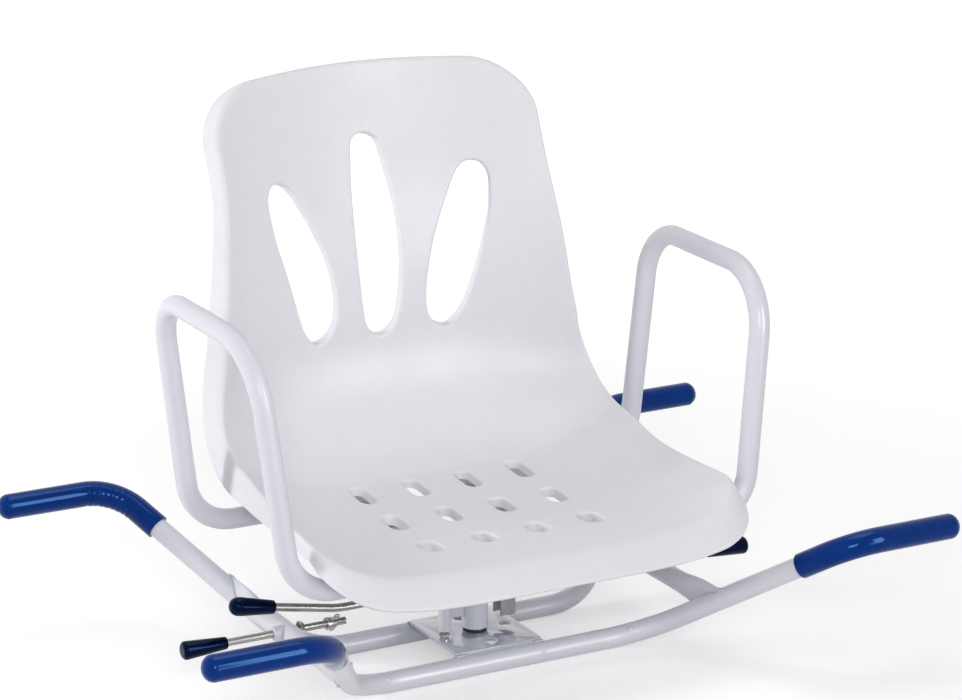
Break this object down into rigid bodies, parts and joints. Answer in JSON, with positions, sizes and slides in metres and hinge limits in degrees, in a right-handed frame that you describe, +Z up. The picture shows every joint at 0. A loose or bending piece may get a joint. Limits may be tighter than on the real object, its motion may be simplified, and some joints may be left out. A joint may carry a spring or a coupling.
{
  "type": "swivel bath seat",
  "caption": "Bath seat that hangs between the bath's rims: moulded bucket seat with tube arms turning on a bent-rail frame, with an index lock lever and side adjusters",
  "frame": {"origin": "On the seat's swivel axis, level with the underside of the two rails' flat middles", "axes": "+X runs to the right of a seated user, from side to side of the bath; +Y to the back of the seat; +Z up"},
  "size_m": [0.74, 0.4784, 0.5048],
  "materials": {
    "front_rail": "cool white powder coat, satin gloss",
    "rear_rail": "cool white powder coat, satin gloss",
    "grip_front_left": "glossy dark blue soft vinyl sleeve",
    "grip_front_right": "glossy dark blue soft vinyl sleeve",
    "grip_rear_left": "glossy dark blue soft vinyl sleeve",
    "grip_rear_right": "glossy dark blue soft vinyl sleeve",
    "cross_tube_left": "cool white powder coat, satin gloss",
    "cross_tube_right": "cool white powder coat, satin gloss",
    "base_plate": "cool white powder coat, satin gloss",
    "spindle": "bright zinc plated steel",
    "top_washer": "bright zinc plated steel",
    "spindle_nut": "bright zinc plated steel",
    "thrust_washer": "black nylon",
    "rod_boss_left": "cool white powder coat, satin gloss",
    "rod_boss_right": "cool white powder coat, satin gloss",
    "inner_nut_left": "bright zinc plated steel",
    "inner_nut_right": "bright zinc plated steel",
    "swivel_tube": "cool white powder coat, satin gloss",
    "lower_bush": "off-white nylon",
    "upper_bush": "off-white nylon",
    "swivel_plate": "cool white powder coat, satin gloss",
    "seat_rail_left": "cool white powder coat, satin gloss",
    "seat_rail_right": "cool white powder coat, satin gloss",
    "lock_housing": "cool white powder coat, satin gloss",
    "pivot_bracket": "dark grey coated steel",
    "pivot_pin": "bright zinc plated steel",
    "arm_left": "cool white powder coat, satin gloss",
    "arm_right": "cool white powder coat, satin gloss",
    "arm_left_plug_front": "black nylon",
    "arm_left_plug_rear": "black nylon",
    "arm_right_plug_front": "black nylon",
    "arm_right_plug_rear": "black nylon",
    "seat_shell": "satin white blow-moulded look",
    "seat_bolt_front_left": "bright zinc plated steel",
    "seat_bolt_front_right": "bright zinc plated steel",
    "seat_bolt_rear_left": "bright zinc plated steel",
    "seat_bolt_rear_right": "bright zinc plated steel",
    "lock_spring": "bright zinc plated steel",
    "lever_rod": "bright zinc plated steel",
    "lever_knob": "glossy black moulding",
    "lever_yoke": "dark grey coated steel",
    "lock_pin": "bright zinc plated steel",
    "lock_collar": "bright zinc plated steel",
    "adjuster_rod_left": "bright zinc plated steel",
    "adjuster_tip_left": "glossy black moulding",
    "adjuster_rod_right": "bright zinc plated steel",
    "adjuster_tip_right": "glossy black moulding",
    "wing_nut_left": "bright zinc plated steel",
    "wing_nut_right": "bright zinc plated steel"
  },
  "bodies": {
    "base": {"front_rail": "front_rail", "rear_rail": "rear_rail", "grip_front_left": "grip_front_left", "grip_front_right": "grip_front_right", "grip_rear_left": "grip_rear_left", "grip_rear_right": "grip_rear_right", "cross_tube_left": "cross_tube_left", "cross_tube_right": "cross_tube_right", "base_plate": "base_plate", "spindle": "spindle", "top_washer": "top_washer", "spindle_nut": "spindle_nut", "thrust_washer": "thrust_washer", "rod_boss_left": "rod_boss_left", "rod_boss_right": "rod_boss_right", "inner_nut_left": "inner_nut_left", "inner_nut_right": "inner_nut_right"},
    "seat": {"swivel_tube": "swivel_tube", "lower_bush": "lower_bush", "upper_bush": "upper_bush", "swivel_plate": "swivel_plate", "seat_rail_left": "seat_rail_left", "seat_rail_right": "seat_rail_right", "lock_housing": "lock_housing", "pivot_bracket": "pivot_bracket", "pivot_pin": "pivot_pin", "arm_left": "arm_left", "arm_right": "arm_right", "arm_left_plug_front": "arm_left_plug_front", "arm_left_plug_rear": "arm_left_plug_rear", "arm_right_plug_front": "arm_right_plug_front", "arm_right_plug_rear": "arm_right_plug_rear", "seat_shell": "seat_shell", "seat_bolt_front_left": "seat_bolt_front_left", "seat_bolt_front_right": "seat_bolt_front_right", "seat_bolt_rear_left": "seat_bolt_rear_left", "seat_bolt_rear_right": "seat_bolt_rear_right", "lock_spring": "lock_spring"},
    "lever": {"lever_rod": "lever_rod", "lever_knob": "lever_knob", "lever_yoke": "lever_yoke"},
    "lock": {"lock_pin": "lock_pin", "lock_collar": "lock_collar"},
    "adjuster_left": {"adjuster_rod_left": "adjuster_rod_left", "adjuster_tip_left": "adjuster_tip_left"},
    "adjuster_right": {"adjuster_rod_right": "adjuster_rod_right", "adjuster_tip_right": "adjuster_tip_right"},
    "wing_left": {"wing_nut_left": "wing_nut_left"},
    "wing_right": {"wing_nut_right": "wing_nut_right"}
  },
  "joints": [
    {"name": "seat_swivel", "type": "hinge", "parent": "base", "child": "seat", "pos_m": [0, 0, 0], "axis": [0, 0, 1], "continuous": true},
    {"name": "lever_tilt", "type": "hinge", "parent": "seat", "child": "lever", "pos_m": [0.031, 0, 0.0733], "axis": [0, 1, 0], "range_deg": [-3, 2.5]},
    {"name": "lock_pin_slide", "type": "slide", "parent": "seat", "child": "lock", "axis": [0, 0, 1], "range_m": [-0.0033, 0.0028], "deforming": ["lock_spring"]},
    {"name": "adjuster_left_slide", "type": "slide", "parent": "base", "child": "adjuster_left", "axis": [-1, 0, 0], "range_m": [-0.03, 0.02]},
    {"name": "wing_nut_left_turn", "type": "hinge", "parent": "adjuster_left", "child": "wing_left", "pos_m": [-0.146, 0, 0.0545], "axis": [1, 0, 0], "continuous": true},
    {"name": "adjuster_right_slide", "type": "slide", "parent": "base", "child": "adjuster_right", "axis": [1, 0, 0], "range_m": [-0.03, 0.02]},
    {"name": "wing_nut_right_turn", "type": "hinge", "parent": "adjuster_right", "child": "wing_right", "pos_m": [0.146, 0, 0.0545], "axis": [1, 0, 0], "continuous": true}
  ],
  "couplings": [
    {"joint": "lock_pin_slide", "follows": "lever_tilt", "m_per_rad": 0.062}
  ]
}
